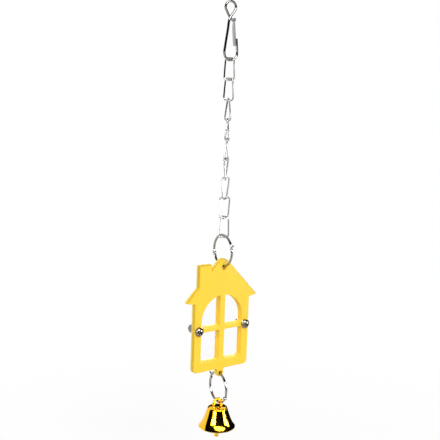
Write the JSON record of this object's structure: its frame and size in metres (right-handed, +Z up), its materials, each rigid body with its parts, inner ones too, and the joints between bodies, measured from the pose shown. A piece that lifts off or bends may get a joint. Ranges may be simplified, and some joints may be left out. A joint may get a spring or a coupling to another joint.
{
  "type": "bird mirror with bell",
  "caption": "House-shaped framed bird mirror hanging from a snap hook and twisted chain by a hinged ring, with a small bell on a second ring below.",
  "frame": {"origin": "middle of the snap hook's hanging eye", "axes": "+Z up, -Y the way the mirror's front faces, +X to the right seen from the front"},
  "size_m": [0.06, 0.0268, 0.3107],
  "materials": {
    "nickel_wire": "bright nickel-plated steel wire",
    "spring_steel": "plated spring steel strip, satin",
    "yellow_plastic": "moulded styrene plastic, soft gloss",
    "mirror_sheet": "polished silvered sheet",
    "zinc_steel": "bright zinc-plated steel",
    "brass": "polished brass"
  },
  "bodies": {
    "hook": {"hook_wire": "nickel_wire"},
    "tongue": {"hook_tongue": "spring_steel"},
    "link_1": {"chain_link_1": "nickel_wire"},
    "link_2": {"chain_link_2": "nickel_wire"},
    "link_3": {"chain_link_3": "nickel_wire"},
    "link_4": {"chain_link_4": "nickel_wire"},
    "link_5": {"chain_link_5": "nickel_wire"},
    "link_6": {"chain_link_6": "nickel_wire"},
    "link_7": {"chain_link_7": "nickel_wire"},
    "link_8": {"chain_link_8": "nickel_wire"},
    "link_9": {"chain_link_9": "nickel_wire"},
    "upper_ring_top": {"upper_ring_top_half": "nickel_wire", "upper_ring_rivet": "spring_steel"},
    "upper_ring_bottom": {"upper_ring_bottom_half": "nickel_wire"},
    "house": {"house_front": "yellow_plastic", "house_back": "yellow_plastic", "mirror_sheet": "mirror_sheet", "screw_left": "zinc_steel", "screw_right": "zinc_steel", "cap_nut_left": "zinc_steel", "cap_nut_right": "zinc_steel"},
    "lower_ring_top": {"lower_ring_top_half": "nickel_wire", "lower_ring_rivet": "spring_steel"},
    "lower_ring_bottom": {"lower_ring_bottom_half": "nickel_wire"},
    "bell": {"bell_shell": "brass", "bell_loop": "brass"},
    "clapper": {"clapper_stem": "brass", "clapper_bob": "brass"}
  },
  "joints": [
    {"name": "tongue_gate", "type": "hinge", "parent": "hook", "child": "tongue", "pos_m": [0.0019, 0, -0.0083], "axis": [0, 1, 0], "range_deg": [0, 16], "stiffness_Nm_per_rad": 0.005, "springref_deg": -5.73},
    {"name": "link_1_swing", "type": "hinge", "parent": "hook", "child": "link_1", "pos_m": [0, 0, -0.0352], "axis": [1, 0, 0], "range_deg": [-30, 30]},
    {"name": "link_2_swing", "type": "hinge", "parent": "link_1", "child": "link_2", "pos_m": [0, 0, -0.04855], "axis": [-0.7071, 0.7071, 0], "range_deg": [-25, 25]},
    {"name": "link_3_swing", "type": "hinge", "parent": "link_2", "child": "link_3", "pos_m": [0, 0, -0.06215], "axis": [-0.5736, 0.8192, 0], "range_deg": [-25, 25]},
    {"name": "link_4_swing", "type": "hinge", "parent": "link_3", "child": "link_4", "pos_m": [0, 0, -0.07575], "axis": [0, -1, 0], "range_deg": [-25, 25]},
    {"name": "link_5_swing", "type": "hinge", "parent": "link_4", "child": "link_5", "pos_m": [0, 0, -0.08935], "axis": [0.1736, 0.9848, 0], "range_deg": [-20, 20]},
    {"name": "link_6_swing", "type": "hinge", "parent": "link_5", "child": "link_6", "pos_m": [0, 0, -0.10295], "axis": [-0.1736, -0.9848, 0], "range_deg": [-25, 25]},
    {"name": "link_7_swing", "type": "hinge", "parent": "link_6", "child": "link_7", "pos_m": [0, 0, -0.11655], "axis": [0.5736, 0.8192, 0], "range_deg": [-25, 25]},
    {"name": "link_8_swing", "type": "hinge", "parent": "link_7", "child": "link_8", "pos_m": [0, 0, -0.13015], "axis": [-0.8192, -0.5736, 0], "range_deg": [-25, 25]},
    {"name": "link_9_swing", "type": "hinge", "parent": "link_8", "child": "link_9", "pos_m": [0, 0, -0.14375], "axis": [0.9962, 0.0872, 0], "range_deg": [-25, 25]},
    {"name": "upper_ring_swing", "type": "hinge", "parent": "link_9", "child": "upper_ring_top", "pos_m": [0, 0, -0.15735], "axis": [0.766, -0.6428, 0], "range_deg": [-25, 25]},
    {"name": "upper_ring_open", "type": "hinge", "parent": "upper_ring_top", "child": "upper_ring_bottom", "pos_m": [0.00036, 0.01033, -0.17054], "axis": [0.9994, -0.0349, 0], "range_deg": [0, 60]},
    {"name": "house_swing", "type": "hinge", "parent": "upper_ring_bottom", "child": "house", "pos_m": [0, 0, -0.17777], "axis": [0.0349, 0.9994, 0], "range_deg": [-40, 40]},
    {"name": "lower_ring_swing", "type": "hinge", "parent": "house", "child": "lower_ring_top", "pos_m": [0, 0, -0.25669], "axis": [0.0698, 0.9976, 0], "range_deg": [-40, 40]},
    {"name": "lower_ring_open", "type": "hinge", "parent": "lower_ring_top", "child": "lower_ring_bottom", "pos_m": [-0.00067, -0.0095, -0.27319], "axis": [-0.9976, 0.0698, 0], "range_deg": [0, 60]},
    {"name": "bell_swing", "type": "hinge", "parent": "lower_ring_bottom", "child": "bell", "pos_m": [0, 0, -0.27674], "axis": [0.9976, -0.0698, 0], "range_deg": [-30, 30]},
    {"name": "clapper_swing", "type": "hinge", "parent": "bell", "child": "clapper", "pos_m": [0, 0, -0.28649], "axis": [0.9976, -0.0698, 0], "range_deg": [-35, 35]}
  ]
}
